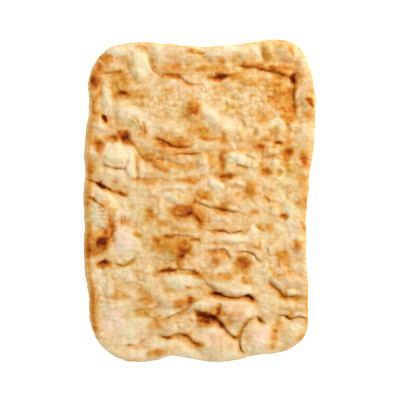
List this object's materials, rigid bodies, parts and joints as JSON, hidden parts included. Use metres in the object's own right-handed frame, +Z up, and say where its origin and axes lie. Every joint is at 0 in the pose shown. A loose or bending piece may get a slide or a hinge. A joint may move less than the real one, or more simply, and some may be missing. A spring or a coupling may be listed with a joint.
{
  "type": "rectangular pizza base",
  "caption": "Baked rectangular pizza base, a flat bread slab with rounded corners, puffed edge, gas pillows and pressed hollows.",
  "frame": {"origin": "under the middle of the slab, on the surface that it rests on", "axes": "+Z up out of the baked top, +Y along the slab's length towards the edge with the straight valley behind it, +X across its width"},
  "size_m": [0.288, 0.4, 0.0204],
  "materials": {
    "crust": "matt baked wheat crust, cream to golden with toasted brown blisters and a dusting of flour"
  },
  "bodies": {
    "root": {"pizza_base": "crust"}
  },
  "joints": []
}
